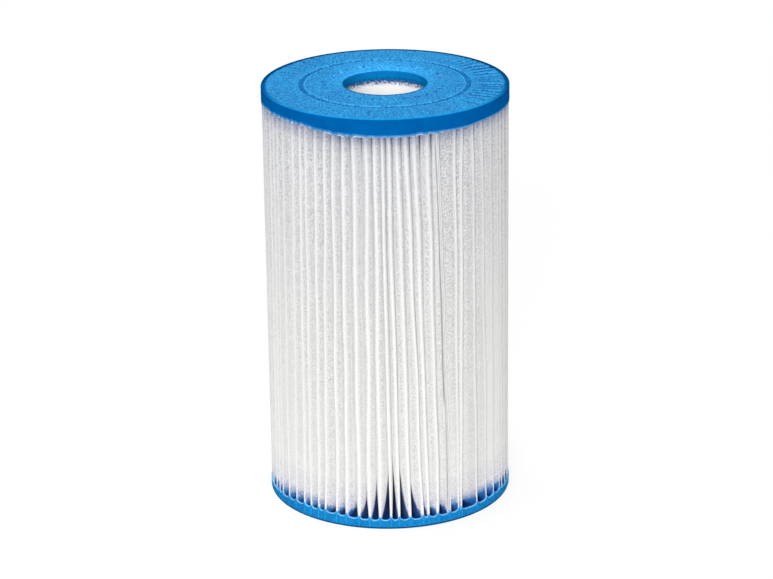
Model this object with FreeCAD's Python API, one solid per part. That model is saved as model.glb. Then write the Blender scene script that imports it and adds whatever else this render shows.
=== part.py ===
"""Pleated filter cartridge for an above-ground pool pump, in millimetres.

The cartridge stands on its bottom end cap: +Z is up along its axis, and the origin is the centre of
the bottom face. Both ends are alike in plan, with an open bore, and the axis runs clear through.
Each sub-part is written as one STEP file in parts/.
"""

import FreeCAD, Part
import math
import os

V = FreeCAD.Vector
AXIS = V(0, 0, 1)
ORIGIN = V(0, 0, 0)

# Overall size
DIAMETER = 146.0
LENGTH = 254.0
BORE_RADIUS = 24.6

# End caps, moulded in place around the ends of the pleats and the core
CAP_RADIUS = DIAMETER / 2
TOP_SKIRT_DEPTH = 11.0        # from the top face to the lower edge of the skirt
TOP_FILL_DEPTH = 7.0          # from the top face to the surface between the pleats
BOTTOM_RIM_HEIGHT = 6.0       # from the bottom face to the upper edge of the rim
BOTTOM_FILL_HEIGHT = 4.6      # from the bottom face to the surface between the pleats
RIM_WALL = 2.4                # radial width of the skirt and of the rim
COLLAR_HEIGHT = 5.0           # length of each bore's wall
OUTER_EDGE_ROUND = 0.6
BORE_EDGE_ROUND = 0.35
GROOVE_RADIUS = 50.0          # the ring groove in each end face
GROOVE_WIDTH = 3.2
GROOVE_DEPTH = 1.2

# Core cage, a moulded lattice tube
CORE_INNER_RADIUS = 25.2
CORE_WALL = 1.8
CORE_EMBED = 2.0              # distance from each end face to the end of the core
WINDOW_COLUMNS = 10
WINDOW_ROWS = 14
WINDOW_WIDTH = 11.5
WINDOW_HEIGHT = 12.0
WINDOW_CORNER = 1.6
WINDOW_PITCH = 16.0

# Pleated media, one sheet folded into radial fins
FIN_COUNT = 72
SHEET_THICKNESS = 0.5
FIN_TIP_RADIUS = 72.0         # outermost reach of the folds
OUTER_FOLD = 1.25             # radius of the outer folds at the middle of the sheet
INNER_FOLD = 0.62             # radius of the inner folds at the middle of the sheet
INNER_FOLD_CENTRE = 28.5      # distance of the inner folds' centres from the axis
MEDIA_EMBED = 1.6             # distance from each end face to the edge of the sheet

# Seam, where the two ends of the sheet are bonded into one fin
SEAM_FIN_ANGLE = 26.4         # from the front, -Y, towards +X
SEAM_BEAD_INNER = 60.0
SEAM_BEAD_OUTER = 71.2
SHEET_END_RADIUS = 71.7


def polar(radius, angle, z=0.0):
    """A point at a distance from the axis, with the angle in degrees from the front, -Y, towards +X."""
    a = math.radians(angle)
    return V(radius * math.sin(a), -radius * math.cos(a), z)


def line(a, b):
    return Part.LineSegment(a, b).toShape()


def arc(a, middle, b):
    return Part.Arc(a, middle, b).toShape()


def revolved(edges):
    return Part.Face(Part.Wire(edges)).revolve(ORIGIN, AXIS, 360)


def ring(inner, outer, low, high):
    """A plain ring between two radii and two heights."""
    tube = Part.makeCylinder(outer, high - low, V(0, 0, low))
    return tube.cut(Part.makeCylinder(inner, high - low + 2, V(0, 0, low - 1)))


# ---- Pleated media ----

def flank_points(side):
    """One flank of a fin pointing along +X, as (outer centre, inner centre, outer end, inner end, direction).

    side is 1 for the flank on the +Y side and -1 for the other. The flank is the straight stretch
    between the outer fold's circle and the inner fold's circle, which lies on the other side of it.
    """
    half_pitch = math.radians(180.0 / FIN_COUNT)
    outer_centre = V(FIN_TIP_RADIUS - SHEET_THICKNESS / 2 - OUTER_FOLD, 0, 0)
    inner_centre = V(
        INNER_FOLD_CENTRE * math.cos(half_pitch), side * INNER_FOLD_CENTRE * math.sin(half_pitch), 0
    )
    span = inner_centre - outer_centre
    lean = math.asin((OUTER_FOLD + INNER_FOLD) / span.Length)
    heading = math.atan2(span.y, span.x) - side * lean
    normal = V(-math.sin(heading), math.cos(heading), 0) * -side
    return outer_centre, inner_centre, normal


def turned(point, angle, z):
    """A point of a fin along +X, moved to the fin at that angle from the front and to a height."""
    a = math.radians(angle - 90)
    return V(
        point.x * math.cos(a) - point.y * math.sin(a), point.x * math.sin(a) + point.y * math.cos(a), z
    )


def fin_path(offset, fin_angle, z, folded=True):
    """The two flanks of one fin with its outer fold, offset from the middle of the sheet.

    Positive offsets lie outside the fin. Each item is a list of points: two for a straight stretch
    and three for an arc. The seam fin has no fold, and its flanks run on to the sheet's ends.
    """
    stretches = []
    for side in (-1, 1):
        outer_centre, inner_centre, normal = flank_points(side)
        inner_end = inner_centre - normal * (INNER_FOLD - offset)
        outer_end = outer_centre + normal * (OUTER_FOLD + offset)
        if not folded:
            reach = (outer_end - inner_end).normalize()
            outer_end = outer_end + reach * ((SHEET_END_RADIUS - outer_end.x) / reach.x)
        flank = [inner_end, outer_end]
        stretches.append(flank if side < 0 else flank[::-1])
    if folded:
        crown = outer_centre + V(OUTER_FOLD + offset, 0, 0)
        stretches.insert(1, [stretches[0][-1], crown, stretches[1][0]])
    return [[turned(p, fin_angle, z) for p in s] for s in stretches]


def inner_fold_arc(offset, valley_angle, start, end, z):
    """The inner fold between two fins, from the end of one flank to the start of the next."""
    crown = turned(V(INNER_FOLD_CENTRE - (INNER_FOLD - offset), 0, 0), valley_angle, z)
    return [start, crown, end]


def sheet_side(offset, z):
    """All stretches of one face of the sheet, from one end at the seam once round to the other end."""
    pitch = 360.0 / FIN_COUNT
    seam = fin_path(offset, SEAM_FIN_ANGLE, z, folded=False)
    stretches = [seam[1]]
    for k in range(1, FIN_COUNT):
        fin = fin_path(offset, SEAM_FIN_ANGLE + k * pitch, z)
        valley = SEAM_FIN_ANGLE + (k - 0.5) * pitch
        stretches.append(inner_fold_arc(offset, valley, stretches[-1][-1], fin[0][0], z))
        stretches.extend(fin)
    last_valley = SEAM_FIN_ANGLE - 0.5 * pitch
    stretches.append(inner_fold_arc(offset, last_valley, stretches[-1][-1], seam[0][0], z))
    stretches.append(seam[0])
    return stretches


def edge_of(points):
    return arc(*points) if len(points) == 3 else line(*points)


def pleated_media():
    """The folded sheet: its outer face, its end, its inner face back again and its other end."""
    half = SHEET_THICKNESS / 2
    outside = sheet_side(half, MEDIA_EMBED)
    inside = sheet_side(-half, MEDIA_EMBED)
    edges = [edge_of(s) for s in outside]
    edges.append(line(outside[-1][-1], inside[-1][-1]))
    edges.extend(edge_of(s[::-1]) for s in reversed(inside))
    edges.append(line(inside[0][0], outside[0][0]))
    return Part.Face(Part.Wire(edges)).extrude(V(0, 0, LENGTH - 2 * MEDIA_EMBED))


def sheet_length():
    """The length of the sheet along its middle, before it is folded."""
    return sum(edge_of(s).Length for s in sheet_side(0.0, 0.0))


def seam_bead():
    """The bead of adhesive between the two flanks of the seam fin."""
    z = BOTTOM_FILL_HEIGHT
    corners = []
    for stretch, radii in zip(
        fin_path(-SHEET_THICKNESS / 2, SEAM_FIN_ANGLE, z, folded=False),
        ((SEAM_BEAD_INNER, SEAM_BEAD_OUTER), (SEAM_BEAD_OUTER, SEAM_BEAD_INNER)),
    ):
        a, b = stretch
        for radius in radii:
            share = (radius - a.sub(V(0, 0, z)).Length) / (b.Length - a.Length)
            corners.append(a + (b - a) * share)
    edges = [line(corners[k - 1], corners[k]) for k in range(4)]
    height = LENGTH - TOP_FILL_DEPTH - BOTTOM_FILL_HEIGHT
    return Part.Face(Part.Wire(edges)).extrude(V(0, 0, height))


# ---- Core ----

def window_cutter():
    """A bar with rounded edges, pointing out of the front of the core."""
    w, h, r = WINDOW_WIDTH / 2, WINDOW_HEIGHT / 2, WINDOW_CORNER
    bend = r * (1 - math.sqrt(0.5))
    reach = CORE_INNER_RADIUS + CORE_WALL + 2
    edges = []
    for sx, sz in ((1, 1), (-1, 1), (-1, -1), (1, -1)):
        near = V(sx * w, 0, sz * (h - r))
        far = V(sx * (w - r), 0, sz * h)
        a, b = (near, far) if sx * sz > 0 else (far, near)
        if edges:
            edges.append(line(edges[-1].Vertexes[-1].Point, a))
        edges.append(arc(a, V(sx * (w - bend), 0, sz * (h - bend)), b))
    edges.append(line(edges[-1].Vertexes[-1].Point, edges[0].Vertexes[0].Point))
    return Part.Face(Part.Wire(edges)).extrude(V(0, -reach, 0))


def core_cage():
    """The lattice tube that holds the pleats open, with plain bands at both ends."""
    outer = CORE_INNER_RADIUS + CORE_WALL
    tube = ring(CORE_INNER_RADIUS, outer, CORE_EMBED, LENGTH - CORE_EMBED)
    cutter = window_cutter()
    cutters = []
    for row in range(WINDOW_ROWS):
        z = LENGTH / 2 + (row - (WINDOW_ROWS - 1) / 2) * WINDOW_PITCH
        for column in range(WINDOW_COLUMNS):
            bar = cutter.copy()
            bar.translate(V(0, 0, z))
            bar.rotate(ORIGIN, AXIS, column * 360.0 / WINDOW_COLUMNS)
            cutters.append(bar)
    return tube.cut(Part.makeCompound(cutters))


# ---- End caps ----

def cap_profile(fill, skirt):
    """Half the section of a cap whose end face lies at Z = 0 and whose body is above it.

    fill is the height of the surface between the pleats, and skirt the height of the outer wall.
    """
    def at(radius, height):
        return V(radius, 0, height)

    corner = 1 - math.sqrt(0.5)
    e, b = OUTER_EDGE_ROUND, BORE_EDGE_ROUND
    core_outer = CORE_INNER_RADIUS + CORE_WALL
    groove_in, groove_out = GROOVE_RADIUS - GROOVE_WIDTH / 2, GROOVE_RADIUS + GROOVE_WIDTH / 2
    edges = [
        line(at(CAP_RADIUS - e, 0), at(groove_out, 0)),
        arc(at(groove_out, 0), at(GROOVE_RADIUS, GROOVE_DEPTH), at(groove_in, 0)),
        line(at(groove_in, 0), at(BORE_RADIUS + b, 0)),
        arc(at(BORE_RADIUS + b, 0), at(BORE_RADIUS + b * corner, b * corner), at(BORE_RADIUS, b)),
    ]
    outline = [
        at(BORE_RADIUS, b),
        at(BORE_RADIUS, COLLAR_HEIGHT),
        at(CORE_INNER_RADIUS, COLLAR_HEIGHT),
        at(CORE_INNER_RADIUS, fill),
        at(core_outer, fill),
        at(CAP_RADIUS - RIM_WALL, fill),
        at(CAP_RADIUS - RIM_WALL, skirt),
        at(CAP_RADIUS, skirt),
        at(CAP_RADIUS, e),
    ]
    edges += [line(p, q) for p, q in zip(outline, outline[1:]) if (q - p).Length > 1e-6]
    edges.append(
        arc(at(CAP_RADIUS, e), at(CAP_RADIUS - e * corner, e * corner), at(CAP_RADIUS - e, 0))
    )
    return edges


def end_cap(fill, skirt, on_top, embedded):
    """A cap with its end face at its own end of the cartridge, cast around the embedded parts."""
    cap = revolved(cap_profile(fill, skirt))
    if on_top:
        cap = cap.mirror(ORIGIN, AXIS)
        cap.translate(V(0, 0, LENGTH))
    for part in embedded:
        cap = cap.cut(part)
    return cap


def main():
    os.makedirs("parts", exist_ok=True)
    media = pleated_media()
    core = core_cage()
    solid_core = ring(
        CORE_INNER_RADIUS, CORE_INNER_RADIUS + CORE_WALL, CORE_EMBED, LENGTH - CORE_EMBED
    )
    parts = {
        "pleated_media": media,
        "seam_bead": seam_bead(),
        "core_cage": core,
        "top_end_cap": end_cap(TOP_FILL_DEPTH, TOP_SKIRT_DEPTH, True, [solid_core, media]),
        "bottom_end_cap": end_cap(BOTTOM_FILL_HEIGHT, BOTTOM_RIM_HEIGHT, False, [solid_core, media]),
    }
    for name, shape in parts.items():
        solids = shape.Solids
        shape = solids[0] if len(solids) == 1 else Part.makeCompound(solids)
        shape.exportStep(f"parts/{name}.step")
        print(f"{name}: {len(solids)} solid, valid {shape.isValid()}, {shape.Volume / 1000:.1f} cm3")
    print(f"sheet, unfolded: {sheet_length():.0f} x {LENGTH - 2 * MEDIA_EMBED:.1f} mm")


main()
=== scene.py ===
"""Looks for the pleated filter cartridge: its folded sheet, cast end caps, core and seam bead.

Shapes are in millimetres until mesh_piece() turns them into metres, and the stage is in metres.
Angles are in degrees from the front, -Y, towards +X.
"""

import bpy
import math
import numpy as np
from mathutils import Matrix, Vector


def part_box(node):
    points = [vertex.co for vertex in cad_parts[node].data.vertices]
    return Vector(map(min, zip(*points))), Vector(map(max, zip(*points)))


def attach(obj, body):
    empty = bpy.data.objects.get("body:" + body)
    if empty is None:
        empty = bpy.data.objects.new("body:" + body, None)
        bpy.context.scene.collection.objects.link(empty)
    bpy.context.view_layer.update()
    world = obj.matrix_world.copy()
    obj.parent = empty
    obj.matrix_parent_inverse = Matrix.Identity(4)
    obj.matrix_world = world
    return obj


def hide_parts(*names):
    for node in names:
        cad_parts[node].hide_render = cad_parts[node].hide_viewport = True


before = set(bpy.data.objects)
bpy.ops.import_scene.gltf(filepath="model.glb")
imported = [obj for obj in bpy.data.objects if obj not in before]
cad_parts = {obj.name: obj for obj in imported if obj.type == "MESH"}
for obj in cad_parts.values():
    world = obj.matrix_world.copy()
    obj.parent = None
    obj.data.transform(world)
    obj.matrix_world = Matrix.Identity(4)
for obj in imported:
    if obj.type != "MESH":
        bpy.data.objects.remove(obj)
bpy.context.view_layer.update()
MM = 0.001


def node_extent(node):
    """Outer radius, lowest and highest point of a CAD node, in millimetres."""
    low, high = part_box(node)
    return max(high.x, high.y) / MM, low.z / MM, high.z / MM


# Sizes that come from the CAD frame
CAP_RADIUS, TOP_SKIRT_END, LENGTH = node_extent("top_end_cap")
RIM_TOP = node_extent("bottom_end_cap")[2]
CORE_OUTER, CORE_LOW, CORE_HIGH = node_extent("core_cage")
TIP_RADIUS, SHEET_LOW, SHEET_HIGH = node_extent("pleated_media")

# Sizes of the caps and the core that repeat the CAD model's
CORE_INNER = 25.2
BORE_RADIUS = 24.6
COLLAR = 5.0                  # length of each bore's wall, which overlaps the end of the core
BORE_EDGE = 0.35
OUTER_EDGE = 0.6
RIM_INNER = 70.6              # the inside of the top cap's skirt
TOP_FILL = 7.0                # from the top face to the surface between the fins

# Sizes of the caps that aren't quite the CAD model's
GROOVE = (47.5, 51.1)         # inner and outer radius of the ring groove
GROOVE_DEPTH = 0.7
MARK_HEIGHT = 0.5             # how far the marks on the top face stand up
SINK_DEPTH = 0.6              # the deepest that the pleats print through an end face
BOTTOM_FILL = 3.8             # height of the bottom cap's filling, in the pockets between fins

# How much higher than the CAD model's the skirt's edge is, each with the middle and half width of
# its sector
SKIRT_RISES = ((2.5, -58, 26), (0.5, 25, 12), (1.3, 62, 20))

# Sheet
SHEET_THICKNESS = 0.5
INNER_FOLD = 28.5             # distance of the inner folds' centres from the axis
PRESSED = 0.36                # half the width of a fin whose two flanks are pressed together
CREASE = 0.6                  # radius of an outer fold where the fin is full
CLEARANCE = 0.26              # from the middle of the sheet to the boundary with the next fin
FULLEST = 10.5                # the most that a flank bows out from its fin's centre line
BOW_DEPTH = (1.0, 0.95)       # the depth over which a flank bows out: far, then front fins
BOW_CURVE = (1.15, 1.3)       # 1 for a flat flank, more for a rounder one: far, then front fins
POCKET_DEPTH = 4.0            # how far in from a ridge a pinched fin starts to fill out again
TIP_PLAY = (0.1, 0.6)         # how far the middle of the sheet reaches past TIP_RADIUS
PINCH_HEIGHT = (6.5, 9.5)     # the height over which side and back fins fill out, up from the rim
TOP_HOLD = (0.7, 0.88)        # how full a fin is where the top cap holds it: far, then front fins
TOP_HOLD_REACH = 24.0         # the height over which that hold lets go, down from the skirt
SHEET_ROWS = 31
CROWDING = 0.78               # 0 for even steps, and near 1 for steps that crowd at both ends

# Ridge angles of the fins that face the front. They lean, so each has one near the top and one near
# the bottom. The fins that follow round the back are spaced evenly, with some play.
FRONT_TOP = (
    -60, -55, -48, -43, -39.5, -34, -29, -25, -20, -15, -9, -5, -2,
    1, 5, 9, 13, 19, 23.8, 33, 37, 43.5, 50, 57, 63,
)
FRONT_BOTTOM = (
    -63.5, -57, -51, -45, -41, -36, -32, -26, -21, -15, -10, -5, 0,
    4, 9, 15, 18, 23, 29, 34, 36, 45.5, 53, 59, 66,
)
RIDGE_HEIGHTS = (16.0, 238.0) # where FRONT_BOTTOM and FRONT_TOP are
RIDGE_PLAY = 0.16             # degrees that each of a ridge's two waves moves it to either side
FIN_COUNT = 72
SEAM_FIN = 18
SLIM_FINS = (12, 20)
SEAM_HALF_WIDTH = 0.95
FRONT_MIDDLE = 2.5            # the angle in the middle of the fins that the rim pinches highest

# Seam bead
BEAD_ROWS = 90
BEAD_SECTION = 14
BEAD_SET_BACK = 0.6
BEAD_HALF_DEPTH = 3.0
BEAD_ROUNDING = 0.35          # 1 for an oval section and less for a squarer one

ANGLE_STEPS = FIN_COUNT * 16  # points round a cap
rng = np.random.default_rng(11)


# ---- Helpers ----

def smooth(x):
    """0 up to x = 0, 1 from x = 1, with an S between."""
    x = np.clip(x, 0.0, 1.0)
    return x * x * (3 - 2 * x)


def sector(angles, middle, half):
    """1 in the middle of a sector and 0 outside it. It fades through 0.5 at the half width."""
    off = np.abs((angles - middle + 180) % 360 - 180)
    return smooth(1.5 - off / half)


def far_sides(angles):
    """1 at the left and right sides, where the cap's blue stays low on the fins, and 0 elsewhere."""
    return sector(angles, 84, 16) + sector(angles, -84, 16)


def polar(radius, degrees):
    """X and Y of points at a distance from the axis and an angle from the front."""
    a = np.radians(degrees)
    return radius * np.sin(a), -radius * np.cos(a)


def crowd_ends(t):
    """Even shares from 0 to 1, moved so that they crowd together at both ends."""
    return t - CROWDING * np.sin(2 * math.pi * t) / (2 * math.pi)


def ripple(angles, waves):
    """Waves round the axis, added up. Each is its number in a turn and its phase in radians."""
    return sum(np.sin(np.radians(angles) * n + p) for n, p in waves)


def uneven(angles, knots, seed):
    """A value from 0 to 1 that wanders as it goes round, with this many knots in a turn."""
    places = np.linspace(0, 360, knots, endpoint=False)
    return np.interp(angles, places, np.random.default_rng(seed).random(knots), period=360)


def side_of(angles, ridges):
    """Degrees from every ridge to each angle, as an array of shape (angle, ridge)."""
    return (angles[:, None] - ridges[None, :] + 180) % 360 - 180


def nearest_fin(angles, ridges):
    """Distance in degrees from each angle to the nearest ridge."""
    return np.min(np.abs(side_of(angles, ridges)), axis=1)


def grid_faces(rows, columns, wrap_rows, wrap_columns, start=0, flip=False):
    """Quads over a grid of points stored row by row."""
    r = np.arange(rows if wrap_rows else rows - 1)
    c = np.arange(columns if wrap_columns else columns - 1)
    r, c = np.meshgrid(r, c, indexing="ij")
    r2, c2 = (r + 1) % rows, (c + 1) % columns
    quads = np.stack([r * columns + c, r * columns + c2, r2 * columns + c2, r2 * columns + c], -1)
    quads = quads.reshape(-1, 4) + start
    return quads[:, ::-1] if flip else quads


def mesh_piece(name, points, faces, material, attributes=None):
    """A mesh object from points in millimetres and quads, riding on the root body."""
    mesh = bpy.data.meshes.new(name)
    faces = np.asarray(faces, np.int32)
    mesh.vertices.add(len(points))
    mesh.vertices.foreach_set("co", (np.asarray(points) * MM).astype(np.float32).ravel())
    mesh.loops.add(faces.size)
    mesh.loops.foreach_set("vertex_index", faces.ravel())
    mesh.polygons.add(len(faces))
    mesh.polygons.foreach_set("loop_start", np.arange(0, faces.size, 4, dtype=np.int32))
    mesh.update(calc_edges=True)
    mesh.shade_smooth()
    for key, values in (attributes or {}).items():
        layer = mesh.attributes.new(key, "FLOAT", "POINT")
        layer.data.foreach_set("value", np.asarray(values, np.float32).ravel())
    mesh.materials.append(material)
    piece = bpy.data.objects.new(name, mesh)
    bpy.context.collection.objects.link(piece)
    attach(piece, "root")
    return piece


# ---- Fins ----

def spread_round(front, gap_shares):
    """Angles of all the ridges: the front ones, then the rest in the remaining turn."""
    rest = FIN_COUNT - len(front)
    ends = np.cumsum(gap_shares) / np.sum(gap_shares)
    span = front[0] + 360 - front[-1]
    return np.concatenate([front, front[-1] + span * ends[:rest]])


gap_shares = rng.uniform(0.7, 1.3, FIN_COUNT - len(FRONT_TOP) + 1)
ridge_top = spread_round(FRONT_TOP, gap_shares)
gap_shares = gap_shares + rng.uniform(-0.15, 0.15, len(gap_shares))
ridge_bottom = spread_round(FRONT_BOTTOM, gap_shares)
pitch = 360.0 / FIN_COUNT
fin_index = np.arange(FIN_COUNT)
inner_angle = np.mean((ridge_top + ridge_bottom) / 2 - fin_index * pitch) + fin_index * pitch
wave_phase = rng.uniform(0, 2 * math.pi, (2, FIN_COUNT))
wave_length = rng.uniform(70, 170, (2, FIN_COUNT))
fullness = rng.uniform(0.8, 1.2, FIN_COUNT)
fullness[list(SLIM_FINS)] = 0.5
fullness[SEAM_FIN] = 0.6

# The share of each fin's fullness that is on its right, at the bottom and at the top. As far as the
# first slim fin, mostly right flanks show. From there to the seam left flanks show low down, and
# past the seam they show all the way up. The seam fin bulges to its left alone.
right_share = np.full((2, FIN_COUNT), 0.5)
right_share[:, :SEAM_FIN] = 0.8
right_share[:, 8:SLIM_FINS[0]] = 0.65
right_share[0, SLIM_FINS[0] + 1:SEAM_FIN] = 0.15
right_share[1, SLIM_FINS[0] + 1:SEAM_FIN] = 0.45
right_share[:, SEAM_FIN + 1:len(FRONT_TOP)] = 0.1
right_share[:, SEAM_FIN] = 0.02
tip_radius = TIP_RADIUS + rng.uniform(*TIP_PLAY, FIN_COUNT)

# The rim pinches the front fins higher up than the rest, so that tall dark pockets open between
# them. in_front is 1 for those fins and fades to 0 for the others.
pinch_height = rng.uniform(*PINCH_HEIGHT, FIN_COUNT)
from_middle = np.abs((ridge_bottom - FRONT_MIDDLE + 180) % 360 - 180)
in_front = smooth((32 - from_middle) / 20)
pinch_height += 24 * smooth((23 - from_middle) / 18) + 6 * smooth((9 - from_middle) / 5)
bow_depth = BOW_DEPTH[0] + (BOW_DEPTH[1] - BOW_DEPTH[0]) * in_front
bow_curve = BOW_CURVE[0] + (BOW_CURVE[1] - BOW_CURVE[0]) * in_front
bow_depth[SEAM_FIN + 1] = 0.5   # this fin lies close against the seam


def ridge_angles(z):
    """The angle of every ridge at a height."""
    low, high = RIDGE_HEIGHTS
    u = (z - low) / (high - low)
    straight = ridge_bottom + (ridge_top - ridge_bottom) * u
    play = sum(np.sin(2 * math.pi * z / wave_length[i] + wave_phase[i]) for i in range(2))
    return straight + RIDGE_PLAY * play


def skirt_end(angles):
    """Height of the top skirt's lower edge, which is higher at the sides, most of all at the left."""
    return TOP_SKIRT_END + sum(rise * sector(angles, *where) for rise, *where in SKIRT_RISES)


def swelling(z):
    """How full every fin is at a height, from 0, pressed flat, to 1."""
    rise = np.clip((z - RIM_TOP + 2) / pinch_height, 0, 1)
    from_bottom = smooth(rise) * (1 - in_front) + rise ** 0.8 * in_front
    held = TOP_HOLD[0] + (TOP_HOLD[1] - TOP_HOLD[0]) * in_front
    held[SEAM_FIN + 1] = 0.97
    from_top = held + (1 - held) * smooth((TOP_SKIRT_END + 2 - z) / TOP_HOLD_REACH)
    return from_bottom * from_top


def fin_sides(z):
    """Flank points of every fin at a height, as (radius, angle) arrays of shape (side, fin, depth)."""
    ridges = ridge_angles(z)
    full = swelling(z)[:, None]
    crease = PRESSED + (CREASE - PRESSED) * full
    reach = tip_radius[:, None] - INNER_FOLD
    near = crease * np.array([0.12, 0.45, 1.0])
    middle = crease + np.array([1.3, 3.2, 6.5])
    deep = reach * np.array([0.34, 0.64])
    depth = np.concatenate([near, middle, deep, reach], axis=1)
    radius = tip_radius[:, None] - depth
    lean = (radius - INNER_FOLD) / reach
    centre = inner_angle[:, None] + (ridges - inner_angle)[:, None] * lean
    fold = crease * np.sqrt(1 - (1 - np.minimum(depth / crease, 1)) ** 2)
    bow = np.clip((depth - 0.3 * crease) / bow_depth[:, None], 0, 1)
    bow = 1 - (1 - bow) ** bow_curve[:, None]
    full = full + (1 - full) * 0.8 * smooth((depth - POCKET_DEPTH) / 9)
    up = np.clip((z - RIDGE_HEIGHTS[0]) / (RIDGE_HEIGHTS[1] - RIDGE_HEIGHTS[0]), 0, 1)
    right = right_share[0] + (right_share[1] - right_share[0]) * up
    angles = []
    for side in (-1, 1):
        # Two fins that face each other share the gap between their centre lines
        turn = 360 * ((fin_index + side) // FIN_COUNT)
        other = np.roll(centre, -side, axis=0) + turn[:, None]
        own = fullness * (right if side > 0 else 1 - right)
        facing = np.roll(fullness * (1 - right if side > 0 else right), -side)
        portion = own / (own + facing)
        gap = np.radians(np.abs(other - centre)) * radius
        room = gap * portion[:, None] - CLEARANCE
        beside = SEAM_FIN - side
        room[beside] = np.minimum(room[beside], gap[beside] - SEAM_HALF_WIDTH - 2 * CLEARANCE)
        room = np.clip(room, PRESSED, FULLEST)
        half = fold + np.maximum(room - crease, 0) * full * bow
        half[SEAM_FIN] = np.maximum(half[SEAM_FIN], SEAM_HALF_WIDTH)
        angles.append(centre + side * np.degrees(half / radius))
    return np.array([radius, radius]), np.array(angles), ridges


def sheet_outline(z):
    """The middle of the sheet at a height, from one end at the seam right round to the other."""
    radii, angles, ridges = fin_sides(z)
    path = []
    for step in range(FIN_COUNT + 1):
        k = (SEAM_FIN + step) % FIN_COUNT
        turn = 360 if SEAM_FIN + step >= FIN_COUNT else 0
        if step > 0:
            path.extend(zip(radii[0][k][::-1], angles[0][k][::-1] + turn))
        if 0 < step < FIN_COUNT:
            path.append((tip_radius[k], ridges[k] + turn))
        if step < FIN_COUNT:
            path.extend(zip(radii[1][k], angles[1][k] + turn))
            after = (k + 1) % FIN_COUNT
            start = angles[1][k][-1] + turn
            end = angles[0][after][-1] + (360 if SEAM_FIN + step + 1 >= FIN_COUNT else 0)
            middle, half = (start + end) / 2, (end - start) / 2
            fold = np.radians(half) * INNER_FOLD
            for a in np.radians((45, 90, 135)):
                path.append((INNER_FOLD - fold * math.sin(a), middle - half * math.cos(a)))
    radius, angle = np.array(path).T
    return np.stack(polar(radius, angle), axis=1)


def offset_sides(outline, distance):
    """The outline moved sideways both ways."""
    along = np.gradient(outline, axis=0)
    along /= np.linalg.norm(along, axis=1)[:, None]
    normal = np.stack([along[:, 1], -along[:, 0]], axis=1)
    return outline + normal * distance, outline - normal * distance


def closed_sheet(heights):
    """Points and quads of the whole sheet: its two faces and the edge that joins them."""
    outer, inner = [], []
    for z in heights:
        a, b = offset_sides(sheet_outline(z), SHEET_THICKNESS / 2)
        outer.append(np.column_stack([a, np.full(len(a), z)]))
        inner.append(np.column_stack([b, np.full(len(b), z)]))
    rows, columns = len(heights), len(outer[0])
    points = np.array(outer + inner).reshape(-1, 3)
    count = rows * columns
    edge = np.concatenate([
        np.arange(columns),
        np.arange(1, rows) * columns + columns - 1,
        (rows - 1) * columns + np.arange(columns - 2, -1, -1),
        np.arange(rows - 2, 0, -1) * columns,
    ])
    after = np.roll(edge, -1)
    faces = [
        grid_faces(rows, columns, False, False),
        grid_faces(rows, columns, False, False, start=count, flip=True),
        np.stack([edge, edge + count, after + count, after], axis=1),
    ]
    return points, np.concatenate(faces)


def sheet_looks(points, heights):
    """How blue, how bright and how dim the sheet is at each point: blue from plastisol that wicked in
    and painted shade in the pockets, painted highlights and painted light, and painted shade.

    depth is how far in from the ridges a point is, and away how far from the nearest ridge's line.
    """
    x, y, z = points.T
    angle, radius = np.degrees(np.arctan2(x, -y)), np.hypot(x, y)
    depth, away, reach, front = np.zeros((4, len(z)))
    for height in heights:
        row = z == height
        ridges = ridge_angles(height)
        depth[row] = np.interp(angle[row], ridges, tip_radius, period=360) - radius[row]
        reach[row] = np.interp(angle[row], ridges, pinch_height, period=360)
        front[row] = np.interp(angle[row], ridges, in_front, period=360)
        seam_edges = ridges[SEAM_FIN] + np.degrees(SEAM_HALF_WIDTH / TIP_RADIUS) * np.array([-1, 1])
        away[row] = np.radians(nearest_fin(angle[row], np.append(ridges, seam_edges))) * radius[row]
    away = np.hypot(away, depth)

    # The blue is partly plastisol that wicked in and partly painted shade, which goes navy deep in the
    # pockets. It climbs from the bottom cap: up the pinched part of the far fins, and deep in the front
    # ones. The ridges stay clear of it, and it is paler at the left.
    rise = z - RIM_TOP
    soak_and_shade_reach = reach * (1 - front) + np.minimum(1.0 + 2.6 * depth, 22) * front
    soak_and_shade_reach *= 1 - 0.5 * far_sides(angle)
    soak_and_pocket_shade = smooth(1.15 - rise / soak_and_shade_reach) + 0.22 * np.clip(1 - rise / 20, 0, 1)
    soak_and_pocket_shade *= smooth((away - 0.45 - 0.3 * front) / 0.45)
    soak_and_pocket_shade *= 1 - 0.28 * sector(angle, -48, 24)

    # A little blue-lavender hangs below the skirt, as painted shade
    hang = np.maximum(skirt_end(angle) - z, 0)
    soak_and_pocket_shade += 0.14 * np.clip(1 - hang / 5, 0, 1) * smooth(away / 1.5)

    # Painted highlights white on the ridges, and painted light deep in the gaps and low down at
    # the two sides
    deep = (0.4 + 0.4 * front) * smooth((depth - 0.7) / 0.5)
    low_down = 1 - (z / TOP_SKIRT_END) ** 2
    sides = 0.65 * low_down * (sector(angle, 66, 14) + 0.4 * sector(angle, -66, 14))
    ridge = np.maximum(np.maximum(smooth(1.05 - away / 1.7), deep), sides)

    # Dim under the skirt, and a little at the upper left
    shade = np.exp(-hang / 5) + 0.1 * sector(angle, -72, 14) * np.exp(-hang / 60)
    return {"soak_and_pocket_shade": soak_and_pocket_shade, "ridge": ridge, "shade": shade}


def pleated_media(material):
    """The folded sheet, with more rows of points near the caps, where the fins are pinched."""
    heights = SHEET_LOW + (SHEET_HIGH - SHEET_LOW) * crowd_ends(np.linspace(0, 1, SHEET_ROWS))
    points, faces = closed_sheet(heights)
    looks = sheet_looks(points, heights)
    piece = mesh_piece("pleated_sheet", points, faces, material, looks)
    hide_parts("pleated_media")


def squarish(turned):
    """A sine or cosine made squarer."""
    return np.sign(turned) * abs(turned) ** BEAD_ROUNDING


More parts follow.
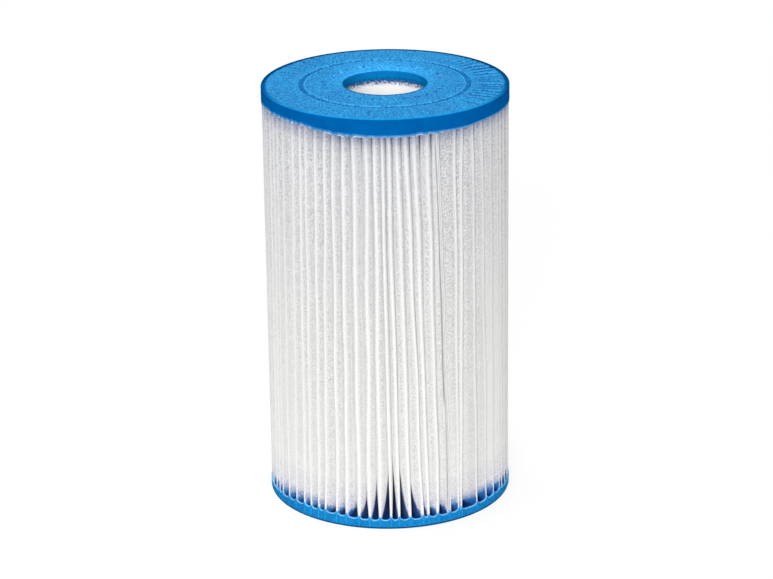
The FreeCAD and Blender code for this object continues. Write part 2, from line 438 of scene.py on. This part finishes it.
def seam_bead(material):
    """The adhesive between the sheet's two ends, set back a little and uneven along its length."""
    heights = np.linspace(RIM_TOP - 1, LENGTH - TOP_FILL + 1, BEAD_ROWS)
    half = SEAM_HALF_WIDTH - SHEET_THICKNESS / 2
    points = []
    for z in heights:
        wander = 0.12 * math.sin(z * 0.31) + 0.1 * math.sin(z * 0.83 + 1)
        front = tip_radius[SEAM_FIN] - BEAD_SET_BACK + wander
        lean = (ridge_angles(z)[SEAM_FIN] - inner_angle[SEAM_FIN]) / (tip_radius[SEAM_FIN] - INNER_FOLD)
        for a in np.linspace(0, 2 * math.pi, BEAD_SECTION, endpoint=False):
            r = front - BEAD_HALF_DEPTH + BEAD_HALF_DEPTH * squarish(math.cos(a))
            middle = inner_angle[SEAM_FIN] + lean * (r - INNER_FOLD)
            side = half * squarish(math.sin(a))
            x, y = polar(r, middle + math.degrees(side / r))
            points.append((x, y, z))
    faces = grid_faces(BEAD_ROWS, BEAD_SECTION, False, True)
    ends = []
    for start, flip in ((0, False), ((BEAD_ROWS - 1) * BEAD_SECTION, True)):
        centre = len(points)
        points.append(tuple(np.mean(points[start:start + BEAD_SECTION], axis=0)))
        for k in range(0, BEAD_SECTION, 2):
            quad = [centre, start + (k + 2) % BEAD_SECTION, start + k + 1, start + k]
            ends.append(quad[::-1] if flip else quad)
    faces = np.concatenate([faces, ends])
    piece = mesh_piece("seam_adhesive", points, faces, material)
    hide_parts("seam_bead")


# ---- End caps ----
#
# A cap's colour follows its "thin" value, from row to row of its points, which holds thinness and
# painted light: below 0 is painted shade, -1 the darkest, in creases, pockets and along dark edges,
# 0 where the plastic is thick, 1 where it is bright from thinness and where the lit face is painted,
# 1.5 painted highlights on pale edges, and from 2 to 3 the film that soaked into the sheet below the
# skirt, from blue to white.

def raised_marks(angles, radii):
    """A ring of plain raised ticks and dots on the panel, in no writing system.

    The height is 1 on a mark and 0 off it, and the tone tells the paler marks from the darker ones.
    """
    height, tone = np.zeros((2, len(radii), len(angles)))
    ticks = np.random.default_rng(5)
    # Inner radius, outer radius and half width of each kind of mark. The last kind is a gap.
    kinds = ((33.5, 37.5, 0.3), (33.5, 35.2, 0.35), (35.5, 37.5, 0.3), (34.5, 36.5, 0.9), (0, 0, 0))
    angle = 0.0
    while angle < 356:
        kind = ticks.integers(0, len(kinds))
        low, high, wide = kinds[kind]
        if wide:
            off = ((angles - angle + 180) % 360 - 180)[None, :]
            across = smooth((wide + 0.4 - np.abs(np.radians(off)) * radii[:, None]) / 0.5)
            along = smooth((radii - low) / 0.5) * smooth((high - radii) / 0.5)
            height = np.maximum(height, across * along[:, None])
            tone += across * along[:, None] * ticks.choice((-0.45, 0.3))
        angle += ticks.uniform(2.6, 3.8)
    return height, tone


def print_through(angles, radii, ridges, strength):
    """The shallow radial sinks that the pleats leave in a cap's face, and the edges beside them.

    Each is 1 where it is strongest. strength gives how deep the sink at each fin is. The sinks are
    deepest between the groove and the rim, and go on faintly inside the groove.
    """
    gap = side_of(angles, ridges)
    fin = np.argmin(np.abs(gap), axis=1)
    side = gap[np.arange(len(angles)), fin]
    phase, start, end = np.random.default_rng(8).random((3, len(ridges)))
    r = radii[:, None]
    off = np.radians(side) * r + 0.3 * np.sin(r * 0.35 + 6.3 * phase[fin])
    outside = smooth((r - 51.6 - 4 * start[fin]) / 2) * smooth((72 - 3 * end[fin] - r) / 1.5)
    inside = 0.3 * smooth((r - 39) / 2) * smooth((GROOVE[0] - r) / 1.5)
    here = strength[fin] * (outside + inside)
    return here * np.exp(-(off / 1.15) ** 2), here * np.exp(-((off - 2.0) / 0.7) ** 2)


def cell_angles(ridges):
    """Angles round a cap that crowd together at each ridge."""
    steps = ANGLE_STEPS // FIN_COUNT
    gaps = np.diff(np.append(ridges, ridges[0] + 360))
    return (ridges[:, None] + gaps[:, None] * crowd_ends(np.arange(steps) / steps)).ravel()


def face_rows(angles, ridges, strength, edge_painted_light, panel):
    """Rows of an end face from the bore to the outer edge: radius, depth below the end, and thinness
    with painted light.

    edge_painted_light gives the painted light of the outer edge's five rows, and panel the radii of the
    rows on the panel between the bore and the groove.
    """
    quarter = np.radians(np.linspace(0, 90, 5))
    b, o = BORE_EDGE, OUTER_EDGE
    low, high = GROOVE
    # Painted light: the open face is paler than the rim, as lit from above
    painted_lit_face = 0.72
    rows = [(BORE_RADIUS, depth, 0.3) for depth in (COLLAR - 0.4, 3.2, 1.8)]
    rows += [(BORE_RADIUS + b - b * math.cos(a), b - b * math.sin(a), 0.25) for a in quarter]
    rows += [(r, 0.0, painted_lit_face) for r in (25.6, 26.4, *panel, 46.4)]
    # Painted highlights on the groove's lips and painted shade on its floor
    rows += [(low - 0.5, -0.05, 0.9)]
    for t in np.linspace(0, 1, 9):
        hollow = smooth(3.2 * (1 - abs(2 * t - 1)))
        rows.append((low + (high - low) * t, GROOVE_DEPTH * hollow, 1.05 - 0.78 * hollow))
    rows += [(r, 0.0, painted_lit_face) for r in (51.7, 52.8, 54.5, 56.5, 59, 62, 65, 67.5, 69.5, 70.7, 71.6)]
    rows += [(CAP_RADIUS - o + o * math.sin(a), o - o * math.cos(a), 0.0) for a in quarter]
    radii, depth, thin_and_painted_light = np.array(rows).T
    depth = np.repeat(depth[:, None], len(angles), axis=1)
    thin_and_painted_light = np.repeat(thin_and_painted_light[:, None], len(angles), axis=1)
    thin_and_painted_light[-len(quarter):] = edge_painted_light
    sinks, edges = print_through(angles, radii, ridges, strength)
    depth += SINK_DEPTH * sinks
    # Painted shade in the sinks and painted highlights on the edges beside them
    thin_and_painted_light += 0.4 * edges - 0.72 * sinks
    return radii, depth, thin_and_painted_light


def cap_piece(name, node, angles, rows, rim_grain, flip, material):
    """A closed ring-shaped mesh from rows of radius, height, and thinness with painted light.

    Each of those is one number, or an array with one for each angle. rim_grain is how speckled the
    cap is round its outside.
    """
    radius, height, thin_and_painted_light = (
        np.array([np.broadcast_to(value, ANGLE_STEPS) for value in column], float)
        for column in zip(*rows)
    )
    x, y = polar(radius, angles[None, :])
    points = np.stack([x, y, height], axis=-1).reshape(-1, 3)
    faces = grid_faces(len(radius), ANGLE_STEPS, True, True, flip=flip)
    # grain is where the speckle goes, and with it the speckle's painted sheen
    grain = smooth(2 - np.minimum(height, LENGTH - height))
    grain *= smooth(radius - BORE_RADIUS - 0.3) * smooth(CAP_RADIUS - radius - 0.6)
    grain = np.maximum(grain, rim_grain * smooth(radius - CAP_RADIUS + 1))
    piece = mesh_piece(name, points, faces, material, {"thin_and_painted_light": thin_and_painted_light, "grain": grain})
    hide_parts(node)


def top_cap(material):
    """The cap whose skirt hides the ends of the fins, with a narrow lip where it ran onto them."""
    angles = np.linspace(0, 360, ANGLE_STEPS, endpoint=False)
    ridges = ridge_angles(LENGTH)
    strength = sector(ridges, 90, 40) + 0.5 * sector(ridges, -125, 20) + 0.3 * sector(ridges, -20, 60)
    strength *= rng.uniform(0.5, 1.1, FIN_COUNT)
    # Painted highlight along the rounded outer edge
    edge_painted_light = np.array([[0.6, 0.75, 0.75, 0.3, 0.0]]).T
    panel = (28, 31, *np.arange(32.5, 38.6, 0.4), 40, 41.5, 43, 45)
    radii, depth, face_thin_and_painted_light = face_rows(angles, ridges, strength, edge_painted_light, panel)
    marks, tone = raised_marks(angles, radii)
    depth -= MARK_HEIGHT * marks
    # Painted shade: a dark line along the back edge, and darker paint at the front of the bore's edge
    back_edge_shade = smooth((radii - 70.0) / 1.1)[:, None] * sector(angles, 180, 95)
    bore_edge_shade = smooth((26.4 - radii) / 0.8)[:, None] * smooth(1.5 - depth) * sector(angles, 0, 55)
    face_thin_and_painted_light += tone - 1.8 * back_edge_shade - 1.1 * bore_edge_shade
    rows = list(zip(radii, LENGTH - depth, face_thin_and_painted_light))

    # The skirt, whose edge is ragged where it ran on down the fins and even where ragged_share is low
    ragged_share = 1 - 0.85 * sector(angles, 62, 38) - 0.6 * sector(angles, 0, 12)
    off_fin = np.radians(nearest_fin(angles, ridge_angles(TOP_SKIRT_END))) * CAP_RADIUS
    ragged = ripple(angles, ((31, 1), (53, 4), (97, 2), (140, 5)))
    dots = smooth(2.2 * uneven(angles, 330, 6) - 0.6) * ragged_share
    lip = skirt_end(angles) - ragged_share * (0.09 * ragged + 0.5 * np.exp(-off_fin ** 2))
    film = skirt_end(angles) + 1.15 + 0.55 * ragged_share + 0.5 * dots
    rows += [(CAP_RADIUS, LENGTH - 2.0, 0.0), (CAP_RADIUS, LENGTH - 4.0, 0.0)]
    rows += [(CAP_RADIUS, film + 0.6, 0.0), (CAP_RADIUS, film, 0.1), (CAP_RADIUS, film - 0.03, 2.0)]
    rows += [
        (CAP_RADIUS - 0.03, lip + 0.9, 2.15 + 0.15 * dots),
        (CAP_RADIUS - 0.12, lip + 0.4, 2.35 + 0.5 * dots),
        (CAP_RADIUS - 0.4, lip - 0.05, 2.4 + 0.55 * dots),
        (CAP_RADIUS - 1.0, lip, 2.4),
        (RIM_INNER, skirt_end(angles) + 0.7, 0.6),
    ]

    # The filling that holds the fins, the end of the core, and the collar with its drips
    rows += [(r, LENGTH - TOP_FILL, 0.0) for r in (RIM_INNER - 0.6, 60, 45, 32, CORE_OUTER)]
    rows += [(CORE_OUTER, CORE_HIGH, 0.0), (CORE_INNER, CORE_HIGH, 0.0)]
    drip = LENGTH - COLLAR - 0.5 - 0.35 * ripple(angles, ((71, 0), (44, 2), (115, 3)))
    rows += [(CORE_INNER, drip, 0.9), (CORE_INNER - 0.25, drip + 0.3, 0.7)]
    cap_piece("top_cap", "top_end_cap", angles, rows, 0.0, True, material)


def bottom_cap(material):
    """The cap whose rim shows the fins: its crest climbs each fin's tip and drops between fins."""
    at_rim = ridge_angles(RIM_TOP)
    angles = cell_angles(at_rim)
    strength = np.full(FIN_COUNT, 0.3)
    # The outer edge is painted dark, a painted shadow along the base
    radii, depth, face_thin_and_painted_light = face_rows(angles, ridge_angles(0.0), strength, -1.0, (30, 36, 42))
    rows = list(zip(radii, depth, face_thin_and_painted_light))

    # The outside of the rim, painted paler than the top cap's rim as lit from the floor, with a painted
    # shadow line low down and a faint pale stem below each fin
    away = np.radians(nearest_fin(angles, at_rim)) * TIP_RADIUS
    stem = np.exp(-(away / 0.25) ** 2) * (0.4 + 0.6 * uneven(angles, 60, 3))
    rows += [(CAP_RADIUS, 0.9, -0.5), (CAP_RADIUS, 1.25, 0.35)]
    rows += [(CAP_RADIUS + 0.05 * stem, h, 0.42 + 0.7 * stem) for h in (1.9, 3.1)]

    # The crest, with a painted highlight along it, and inside it the pockets, with painted shade
    climb = 2.0 * np.exp(-np.maximum(away - 0.3, 0) / 0.7) * (1 - 0.6 * far_sides(angles))
    taller = 0.5 + 1.2 * sector(angles, -38, 18) + 0.3 * uneven(angles, 90, 4) - 0.7 * far_sides(angles)
    crest = (
        (73.0, 4.3, 0.42), (72.98, 4.55, 1.0), (72.85, 4.9, 1.55), (72.5, 5.1, 1.6), (72.1, 5.05, 1.55),
        (71.75, 4.9, 1.3), (71.6, 4.55, 0.0), (71.4, 4.15, -0.2), (71.1, 3.9, -0.2),
        (70.5, BOTTOM_FILL, -0.2), (69.6, BOTTOM_FILL, -0.1), (68.2, BOTTOM_FILL, -0.2),
        (66.0, BOTTOM_FILL, -0.4), (63.0, BOTTOM_FILL, -0.5),
    )
    for r, z, thin_and_painted_light in crest:
        share = 0.25 + 0.75 * smooth((r - 70) / 1.6)
        rows.append((r, z + share * (climb + taller), np.maximum(thin_and_painted_light, 0.35 * share * climb)))
    rows += [(r, BOTTOM_FILL, -0.5) for r in (56, 46, 36, 30, CORE_OUTER)]
    rows += [(CORE_OUTER, CORE_LOW, 0.0), (CORE_INNER, CORE_LOW, 0.0)]
    rows += [(CORE_INNER, COLLAR, 0.0), (BORE_RADIUS + 0.2, COLLAR, 0.0)]
    cap_piece("bottom_cap", "bottom_end_cap", angles, rows, 0.3, False, material)


# ---- Materials ----

def new_material(name):
    """A Principled material, as (material, nodes, links, shader)."""
    material = bpy.data.materials.new(name)
    material.use_nodes = True
    nodes, links = material.node_tree.nodes, material.node_tree.links
    return material, nodes, links, nodes["Principled BSDF"]


def set_inputs(node, values):
    for key, value in values.items():
        node.inputs[key].default_value = value


def feed(links, socket, value):
    """Gives an input socket another node's output, or a number or colour."""
    if isinstance(value, bpy.types.NodeSocket):
        links.new(value, socket)
    else:
        socket.default_value = (*value, 1) if isinstance(value, tuple) else value


def add_noise(nodes, links, scale, detail, roughness):
    """Noise over the object's own coordinates. scale is in features per metre."""
    place = nodes.new("ShaderNodeTexCoord")
    noise = nodes.new("ShaderNodeTexNoise")
    set_inputs(noise, {"Scale": scale, "Detail": detail, "Roughness": roughness})
    links.new(place.outputs["Object"], noise.inputs["Vector"])
    return noise.outputs["Fac"]


def add_ramp(nodes, links, value, stops):
    """A colour ramp: stops are (position, colour), in order."""
    ramp = nodes.new("ShaderNodeValToRGB")
    elements = ramp.color_ramp.elements
    for k, (position, colour) in enumerate(stops):
        element = elements[k] if k < 2 else elements.new(position)
        element.position = position
        element.color = (*colour, 1)
    links.new(value, ramp.inputs["Fac"])
    return ramp.outputs["Color"]


def add_mix(nodes, links, factor, a, b):
    """Mix of two colours. Each of factor, a and b is a socket or a value."""
    mix = nodes.new("ShaderNodeMix")
    mix.data_type = "RGBA"
    for key, value in ((0, factor), (6, a), (7, b)):
        feed(links, mix.inputs[key], value)
    return mix.outputs[2]


def add_product(nodes, links, a, b):
    """One colour multiplied by another."""
    product = add_mix(nodes, links, 1.0, a, b)
    product.node.blend_type = "MULTIPLY"
    return product


def add_math(nodes, links, operation, *values):
    """A Math node. Each of its values is a socket or a number."""
    node = nodes.new("ShaderNodeMath")
    node.operation = operation
    for socket, value in zip(node.inputs, values):
        feed(links, socket, value)
    return node.outputs[0]


def add_range(nodes, links, value, source=(0.0, 1.0), target=(0.0, 1.0)):
    """A value moved from one range to another, and kept within it."""
    node = nodes.new("ShaderNodeMapRange")
    set_inputs(node, {"From Min": source[0], "From Max": source[1]})
    set_inputs(node, {"To Min": target[0], "To Max": target[1]})
    links.new(value, node.inputs["Value"])
    return node.outputs["Result"]


def add_bump(nodes, links, shader, height, strength, distance):
    bump = nodes.new("ShaderNodeBump")
    set_inputs(bump, {"Strength": strength, "Distance": distance * MM})
    links.new(height, bump.inputs["Height"])
    links.new(bump.outputs["Normal"], shader.inputs["Normal"])


def add_attribute(nodes, name):
    node = nodes.new("ShaderNodeAttribute")
    node.attribute_name = name
    return node.outputs["Fac"]


def add_height(nodes, links):
    """Height above the floor, in metres."""
    place = nodes.new("ShaderNodeTexCoord")
    split = nodes.new("ShaderNodeSeparateXYZ")
    links.new(place.outputs["Object"], split.inputs["Vector"])
    return split.outputs["Z"]


def media_material():
    """Spun-bonded polyester: white, matt and mottled with fibres, and blue where plastisol wicked in as
    the caps were cast.

    The mottling is rougher towards the top cap. Painted shade makes the sheet greyer towards the top
    cap, dim under the skirt and navy deep in the pockets. Painted highlights brighten the ridges, and
    painted light the gaps and the lower sides.
    """
    material, nodes, links, shader = new_material("spun_polyester")
    set_inputs(shader, {"Roughness": 0.85, "Specular IOR Level": 0.2, "Sheen Weight": 0.1})
    set_inputs(shader, {"Subsurface Weight": 0.45, "Subsurface Scale": 1.3 * MM})
    set_inputs(shader, {"Subsurface Radius": (1.0, 1.0, 1.0)})
    up = add_math(nodes, links, "DIVIDE", add_height(nodes, links), TOP_SKIRT_END * MM)
    fibres = add_noise(nodes, links, 1400, 4, 0.7)
    calm = ((0.39, (0.635, 0.635, 0.645)), (0.61, (0.82, 0.82, 0.815)))
    rough = ((0.42, (0.42, 0.42, 0.435)), (0.58, (0.92, 0.92, 0.915)))
    calm, rough = (add_ramp(nodes, links, fibres, stops) for stops in (calm, rough))
    clouds = add_noise(nodes, links, 220, 2, 0.5)
    clouds = add_ramp(nodes, links, clouds, ((0.3, (0.975, 0.975, 0.985)), (0.7, (1.0, 0.995, 0.985))))
    white = add_product(nodes, links, add_mix(nodes, links, up, calm, rough), clouds)
    # Painted highlights on the ridges, and painted light deep in the gaps and at the lower sides
    white = add_mix(nodes, links, add_attribute(nodes, "ridge"), white, (0.96, 0.96, 0.96))
    # Painted shade: the sheet greyer towards the top cap
    height_shade = add_ramp(nodes, links, up, (
        (0.12, (1.0, 1.0, 0.98)), (0.5, (0.93, 0.93, 0.915)),
        (0.8, (0.865, 0.87, 0.88)), (1.0, (0.84, 0.85, 0.87)),
    ))
    white = add_product(nodes, links, white, height_shade)
    shade = add_mix(nodes, links, add_attribute(nodes, "shade"), (1.0, 1.0, 1.0), (0.42, 0.46, 0.57))
    white = add_product(nodes, links, white, shade)

    # The blue, navy where it is painted shade, is speckled at its edge, and there is none at all where
    # its value is 0
    soak_and_pocket_shade = add_attribute(nodes, "soak_and_pocket_shade")
    speckle = add_noise(nodes, links, 1100, 3, 0.7)
    speckle = add_math(nodes, links, "MULTIPLY_ADD", speckle, 1.2, -0.6)
    level = add_math(nodes, links, "ADD", soak_and_pocket_shade, speckle)
    any_blue = add_math(nodes, links, "GREATER_THAN", soak_and_pocket_shade, 0.001)
    level = add_math(nodes, links, "MULTIPLY", level, any_blue)
    blue = add_ramp(nodes, links, level, (
        (0.0, (1, 1, 1)), (0.22, (0.75, 0.74, 0.91)), (0.45, (0.32, 0.45, 0.68)),
        (0.75, (0.015, 0.22, 0.58)), (1.0, (0.004, 0.11, 0.52)),
    ))
    links.new(add_product(nodes, links, white, blue), shader.inputs["Base Color"])
    add_bump(nodes, links, shader, fibres, 0.55, 0.35)
    return material


def cap_material():
    """Cast plastisol: saturated blue, matt, speckled on its open faces, and paler where it is thinner.

    Its colour also holds painted shade, painted highlights and, in the speckle, a painted sheen.
    """
    material, nodes, links, shader = new_material("blue_plastisol")
    set_inputs(shader, {"Specular IOR Level": 0.0})
    grain = add_attribute(nodes, "grain")
    mottle_and_sheen = add_noise(nodes, links, 850, 6, 0.8)
    # The speckle also lifts the red of the open faces strongly, as a painted sheen
    mottle_and_sheen = add_ramp(nodes, links, mottle_and_sheen, ((0.44, (3.2, 0.41, 0.54)), (0.56, (8.2, 1.58, 1.36))))
    mottle_and_sheen = add_mix(nodes, links, grain, (1.0, 1.0, 1.0), mottle_and_sheen)
    clouds = add_noise(nodes, links, 120, 3, 0.6)
    clouds = add_ramp(nodes, links, clouds, ((0.35, (1.0, 0.91, 0.94)), (0.65, (1.0, 1.08, 1.05))))
    thin_and_painted_light = add_range(nodes, links, add_attribute(nodes, "thin_and_painted_light"), source=(-1.0, 3.0))
    # The stops below thick blue are painted shade, the bright azure stop a painted highlight for pale
    # edges, and from the dark stop after it the film on the sheet runs to white
    colour = add_ramp(nodes, links, thin_and_painted_light, (
        (0.0, (0.0, 0.04, 0.13)), (0.25, (0.0, 0.105, 0.365)), (0.5, (0.009, 0.385, 0.84)),
        (0.625, (0.14, 0.62, 1.0)), (0.75, (0.01, 0.17, 0.46)), (0.875, (0.2, 0.38, 0.62)),
        (1.0, (0.8, 0.85, 0.96)),
    ))
    colour = add_product(nodes, links, colour, clouds)
    links.new(add_product(nodes, links, colour, mottle_and_sheen), shader.inputs["Base Color"])
    uneven_gloss = add_noise(nodes, links, 700, 4, 0.6)
    links.new(add_range(nodes, links, uneven_gloss, target=(0.38, 0.52)), shader.inputs["Roughness"])
    share = add_math(nodes, links, "MULTIPLY_ADD", grain, 0.85, 0.15)
    relief = add_math(nodes, links, "MULTIPLY", uneven_gloss, share)
    add_bump(nodes, links, shader, relief, 0.6, 0.7)
    return material


def core_material():
    """Moulded white polypropylene, spotted at the top with blue that ran down from the cap's collar."""
    material, nodes, links, shader = new_material("moulded_polypropylene")
    set_inputs(shader, {"Specular IOR Level": 0.4})
    clouds = add_noise(nodes, links, 120, 3, 0.5)
    white = add_ramp(nodes, links, clouds, ((0.3, (0.93, 0.93, 0.91)), (0.7, (0.97, 0.97, 0.96))))
    collar_end = LENGTH - COLLAR
    run = ((collar_end - 7.5) * MM, collar_end * MM)
    run = add_range(nodes, links, add_height(nodes, links), source=run)
    spots = add_math(nodes, links, "MULTIPLY", add_noise(nodes, links, 900, 3, 0.7), run)
    spots = add_ramp(nodes, links, spots, ((0.22, (1, 1, 1)), (0.4, (0.02, 0.1, 0.34))))
    links.new(add_product(nodes, links, white, spots), shader.inputs["Base Color"])
    grain = add_noise(nodes, links, 1800, 2, 0.5)
    links.new(add_range(nodes, links, grain, target=(0.35, 0.42)), shader.inputs["Roughness"])
    add_bump(nodes, links, shader, grain, 0.1, 0.1)
    return material


def adhesive_material():
    """Hot-melt adhesive: off-white, waxy."""
    material, nodes, links, shader = new_material("hot_melt")
    set_inputs(shader, {"Roughness": 0.32, "Specular IOR Level": 0.5})
    clouds = add_noise(nodes, links, 300, 3, 0.5)
    white = add_ramp(nodes, links, clouds, ((0.3, (0.74, 0.74, 0.74)), (0.7, (0.82, 0.82, 0.82))))
    links.new(white, shader.inputs["Base Color"])
    add_bump(nodes, links, shader, clouds, 0.3, 0.3)
    return material


# ---- Stage ----

def stage_floor():
    """A grey floor that glows by itself, like a lit table, so that it stays white."""
    bpy.ops.mesh.primitive_plane_add(size=12)
    floor = bpy.context.object
    floor.name = "studio_floor"
    material, _, _, shader = new_material("studio_white")
    set_inputs(shader, {"Base Color": (0.2, 0.2, 0.2, 1), "Roughness": 0.9, "Specular IOR Level": 0.0})
    set_inputs(shader, {"Emission Color": (1, 1, 1, 1), "Emission Strength": 0.84})
    floor.data.materials.append(material)


def place_light(data, power, place, aim):
    data.energy = power
    light = bpy.data.objects.new(data.name, data)
    light.location = place
    light.rotation_euler = (Vector(aim) - Vector(place)).to_track_quat("-Z", "Y").to_euler()
    bpy.context.collection.objects.link(light)


def area_light(name, place, size, power, colour=(1, 1, 1)):
    """A round soft light, aimed at the middle of the cartridge."""
    data = bpy.data.lights.new(name, "AREA")
    data.shape = "DISK"
    data.size = size
    data.color = colour
    place_light(data, power, place, (0, 0, 0.13))


def bore_light():
    """A narrow beam down into the bore."""
    data = bpy.data.lights.new("bore", "SPOT")
    data.spot_size = math.radians(5.5)
    data.spot_blend = 0.6
    data.shadow_soft_size = 0.01
    place_light(data, 9, (0, -0.3, 0.8), (0, 0.02, 0.24))


def studio():
    """The floor, the lights, and the world's own pale light."""
    stage_floor()
    area_light("key", (-0.3, -1.95, 1.0), 0.8, 28, (1.0, 0.995, 0.99))
    area_light("fill", (2.1, -0.4, 0.4), 1.4, 4.5, (1.0, 0.99, 0.98))
    area_light("top", (-0.2, 0.1, 1.9), 0.8, 15.5)
    area_light("back", (0.3, 2.1, 0.4), 1.0, 14)
    bore_light()
    world = bpy.data.worlds.new("studio")
    bpy.context.scene.world = world
    world.use_nodes = True
    set_inputs(world.node_tree.nodes["Background"], {"Color": (1, 1, 1, 1), "Strength": 0.25})


def camera():
    """The camera looks down on the cartridge from the front, rolled a little clockwise."""
    aim = Vector((0, 0, 0.127))
    distance, elevation, roll = 1.7632, math.radians(20.358), math.radians(-0.758)
    data = bpy.data.cameras.new("camera")
    data.sensor_width = 36
    data.lens = 136.5
    data.shift_x = -0.0015
    data.shift_y = -0.00495
    eye = bpy.data.objects.new("camera", data)
    turn = Matrix.Rotation(math.pi / 2 - elevation, 4, "X") @ Matrix.Rotation(roll, 4, "Z")
    back = Vector((0, -math.cos(elevation), math.sin(elevation)))
    eye.matrix_world = Matrix.Translation(aim + back * distance) @ turn
    bpy.context.collection.objects.link(eye)
    bpy.context.scene.camera = eye


pleated_media(media_material())
seam_bead(adhesive_material())
blue_plastisol = cap_material()
top_cap(blue_plastisol)
bottom_cap(blue_plastisol)
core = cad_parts["core_cage"]
core.data.materials.clear()
core.data.materials.append(core_material())
studio()
camera()
bpy.context.scene.view_settings.view_transform = "Standard"
